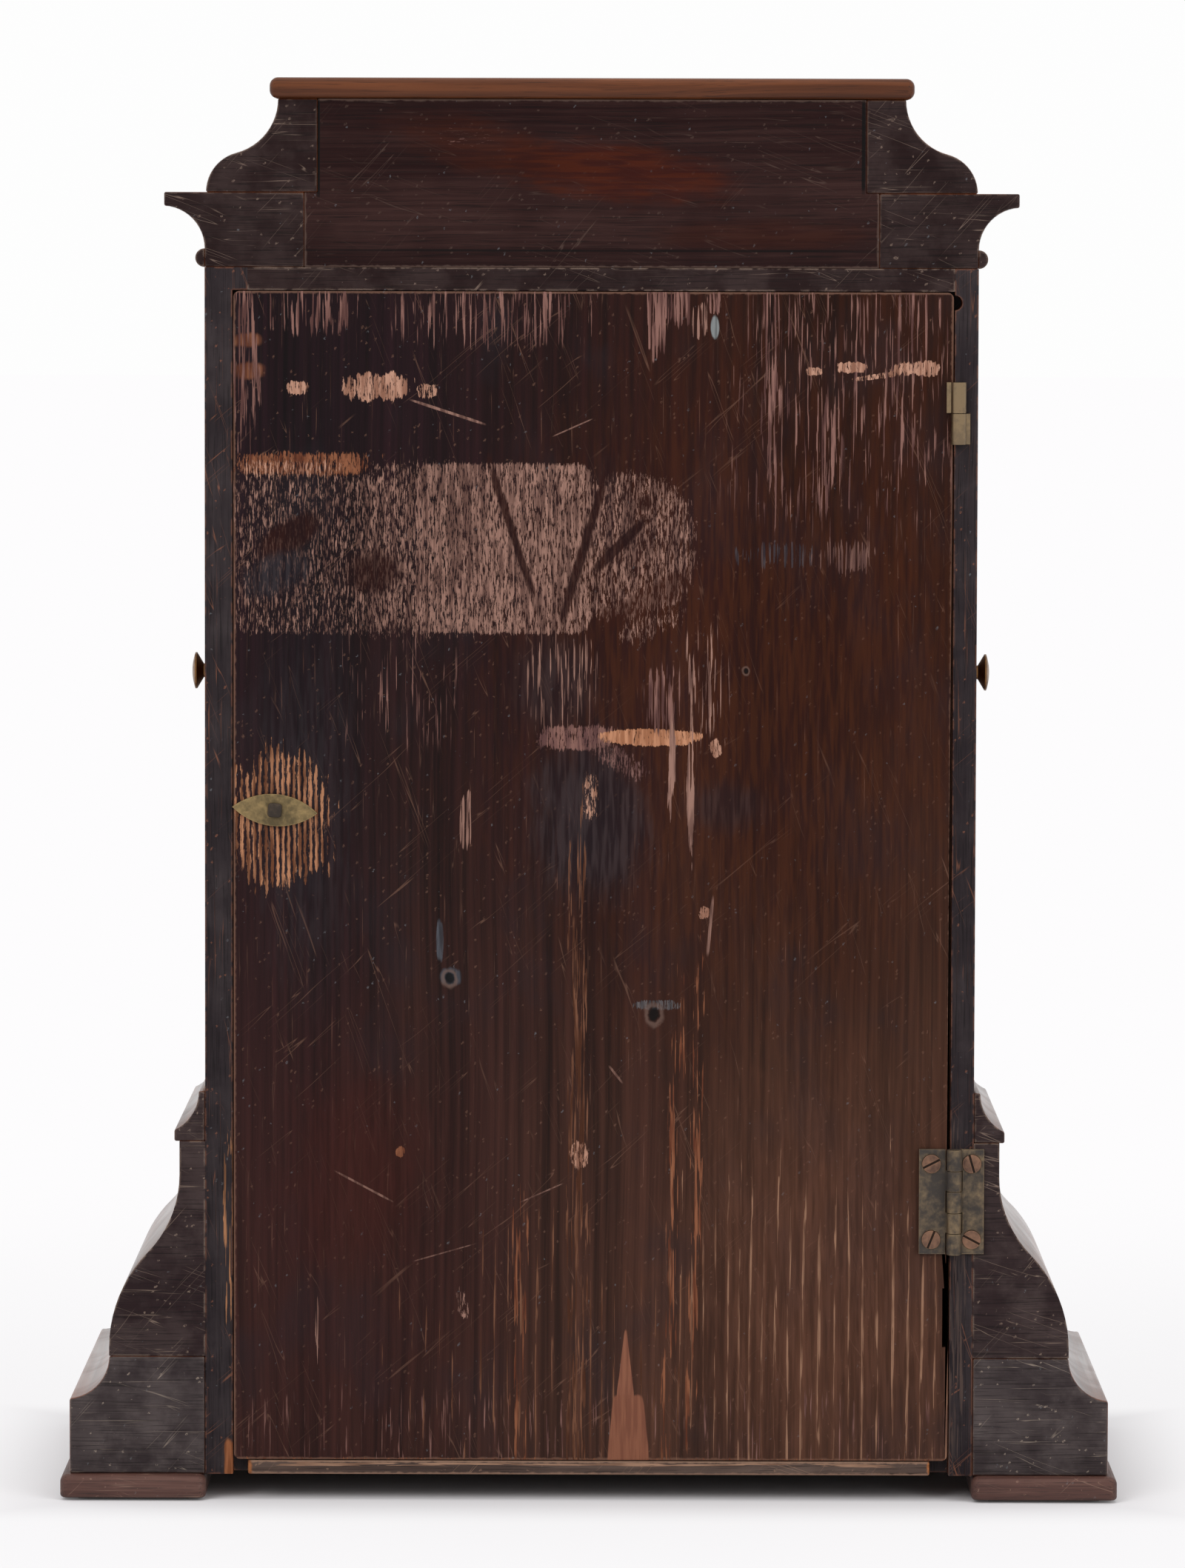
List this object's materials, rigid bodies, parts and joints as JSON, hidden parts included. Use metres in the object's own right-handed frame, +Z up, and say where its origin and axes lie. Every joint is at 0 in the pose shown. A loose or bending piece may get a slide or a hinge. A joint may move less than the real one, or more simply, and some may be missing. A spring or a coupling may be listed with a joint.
{
  "type": "table clock",
  "caption": "Bell-top wooden table clock with moulded base and cornice, rear door with turn latch, glazed front and side doors, dial, wheel train and pendulum.",
  "frame": {"origin": "on the floor, under the middle of the case", "axes": "+Z up, the dial faces -Y and the back of the case faces +Y; +X is on the left seen from the back"},
  "size_m": [0.3778, 0.1896, 0.507],
  "materials": {
    "polished_walnut": "polished walnut, worn",
    "cap_walnut": "lighter polished walnut",
    "stained_pine": "black-brown stained pine, worn and scratched",
    "bare_pine": "plain pine",
    "felt": "green felt",
    "old_brass": "dull aged brass",
    "polished_brass": "lacquered brass",
    "hinge_iron": "worn grey metal",
    "steel": "polished steel",
    "blued_steel": "blued steel",
    "silvered_brass": "silvered brass",
    "clear_glass": "clear",
    "bell_bronze": "bell bronze"
  },
  "bodies": {
    "case": {"block_feet": "polished_walnut", "felt_pads": "felt", "plinth_moulding": "polished_walnut", "ogee_moulding": "polished_walnut", "upper_base_moulding": "polished_walnut", "bead_moulding": "polished_walnut", "cornice_moulding": "polished_walnut", "bell_top_moulding": "polished_walnut", "crown_back_board": "stained_pine", "top_cap": "cap_walnut", "case_side_latch": "polished_walnut", "case_side_hinge": "polished_walnut", "bottom_board": "stained_pine", "top_board": "stained_pine", "lower_front_rail": "polished_walnut", "seat_board": "bare_pine", "rear_hinge_case_leaves": "hinge_iron", "rear_hinge_case_screws": "old_brass", "front_hinge_case_leaves": "polished_brass", "movement_plates": "polished_brass", "plate_pillars": "polished_brass", "dial_plate": "polished_brass", "chapter_ring": "silvered_brass", "dial_ornaments": "polished_brass", "back_cock": "polished_brass", "bell": "bell_bronze", "bell_stand": "steel"},
    "rear_door": {"rear_door": "stained_pine", "rear_hinge_door_leaves": "hinge_iron", "rear_hinge_door_screws": "old_brass"},
    "latch": {"latch_plate": "old_brass", "latch_spindle": "hinge_iron"},
    "front_door": {"front_door_frame": "polished_walnut", "front_door_glass": "clear_glass", "front_door_bezel": "polished_brass", "key_escutcheon": "polished_brass", "front_door_lock": "polished_brass", "front_hinge_door_leaves": "polished_brass"},
    "door_bolt": {"lock_bolt": "steel"},
    "side_door_left": {"side_door_latch_side": "polished_walnut", "side_glass_latch_side": "clear_glass", "side_knob_latch_side": "polished_brass"},
    "side_door_right": {"side_door_hinge_side": "polished_walnut", "side_glass_hinge_side": "clear_glass", "side_knob_hinge_side": "polished_brass"},
    "going_barrel": {"going_barrel": "polished_brass"},
    "strike_barrel": {"strike_barrel": "polished_brass"},
    "minute_arbor": {"centre_wheel": "polished_brass", "cannon_wheel": "polished_brass", "minute_hand": "blued_steel"},
    "third_arbor": {"third_wheel": "polished_brass"},
    "escape_arbor": {"escape_wheel": "polished_brass"},
    "minute_wheel": {"minute_wheel": "polished_brass"},
    "hour_pipe": {"hour_wheel": "polished_brass", "hour_hand": "blued_steel"},
    "pin_arbor": {"pin_wheel": "polished_brass"},
    "hammer": {"bell_hammer": "steel"},
    "pendulum": {"anchor": "steel", "pendulum_rod": "steel", "pendulum_bob": "polished_brass"}
  },
  "joints": [
    {"name": "rear_door_swing", "type": "hinge", "parent": "case", "child": "rear_door", "pos_m": [-0.13, 0.0935, 0], "axis": [0, 0, 1], "range_deg": [0, 170]},
    {"name": "latch_turn", "type": "hinge", "parent": "rear_door", "child": "latch", "pos_m": [0.1121, 0, 0.2475], "axis": [0, -1, 0], "range_deg": [0, 90]},
    {"name": "front_door_swing", "type": "hinge", "parent": "case", "child": "front_door", "pos_m": [0.1389, -0.0255, 0], "axis": [0, 0, 1], "range_deg": [0, 110]},
    {"name": "door_bolt_slide", "type": "slide", "parent": "front_door", "child": "door_bolt", "axis": [-1, 0, 0], "range_m": [0, 0.005]},
    {"name": "side_door_left_swing", "type": "hinge", "parent": "case", "child": "side_door_left", "pos_m": [0.131, -0.002, 0], "axis": [0, 0, -1], "range_deg": [0, 90]},
    {"name": "side_door_right_swing", "type": "hinge", "parent": "case", "child": "side_door_right", "pos_m": [-0.131, -0.002, 0], "axis": [0, 0, 1], "range_deg": [0, 90]},
    {"name": "minute_turn", "type": "hinge", "parent": "case", "child": "minute_arbor", "pos_m": [0, 0, 0.27], "axis": [0, -1, 0], "continuous": true},
    {"name": "going_barrel_turn", "type": "hinge", "parent": "case", "child": "going_barrel", "pos_m": [0.0355, 0, 0.26031], "axis": [0, -1, 0], "continuous": true},
    {"name": "third_turn", "type": "hinge", "parent": "case", "child": "third_arbor", "pos_m": [0.01265, 0, 0.29191], "axis": [0, -1, 0], "continuous": true},
    {"name": "escape_turn", "type": "hinge", "parent": "case", "child": "escape_arbor", "pos_m": [0, 0, 0.3093], "axis": [0, -1, 0], "continuous": true},
    {"name": "minute_wheel_turn", "type": "hinge", "parent": "case", "child": "minute_wheel", "pos_m": [0, 0, 0.2448], "axis": [0, -1, 0], "continuous": true},
    {"name": "hour_turn", "type": "hinge", "parent": "case", "child": "hour_pipe", "pos_m": [0, 0, 0.27], "axis": [0, -1, 0], "continuous": true},
    {"name": "strike_barrel_turn", "type": "hinge", "parent": "case", "child": "strike_barrel", "pos_m": [-0.0355, 0, 0.26031], "axis": [0, -1, 0], "continuous": true},
    {"name": "pin_wheel_turn", "type": "hinge", "parent": "case", "child": "pin_arbor", "pos_m": [-0.03998, 0, 0.29683], "axis": [0, -1, 0], "continuous": true},
    {"name": "hammer_swing", "type": "hinge", "parent": "case", "child": "hammer", "pos_m": [-0.05, 0, 0.322], "axis": [0, -1, 0], "range_deg": [0, 12]},
    {"name": "pendulum_swing", "type": "hinge", "parent": "case", "child": "pendulum", "pos_m": [0, 0, 0.331], "axis": [0, -1, 0], "range_deg": [-4, 4]}
  ],
  "couplings": [
    {"joint": "going_barrel_turn", "follows": "minute_turn", "ratio": -0.095238},
    {"joint": "third_turn", "follows": "minute_turn", "ratio": -10.5},
    {"joint": "escape_turn", "follows": "minute_turn", "ratio": 102.38},
    {"joint": "minute_wheel_turn", "follows": "minute_turn", "ratio": -0.75},
    {"joint": "hour_turn", "follows": "minute_turn", "ratio": 0.083333},
    {"joint": "pin_wheel_turn", "follows": "strike_barrel_turn", "ratio": -10.5}
  ]
}
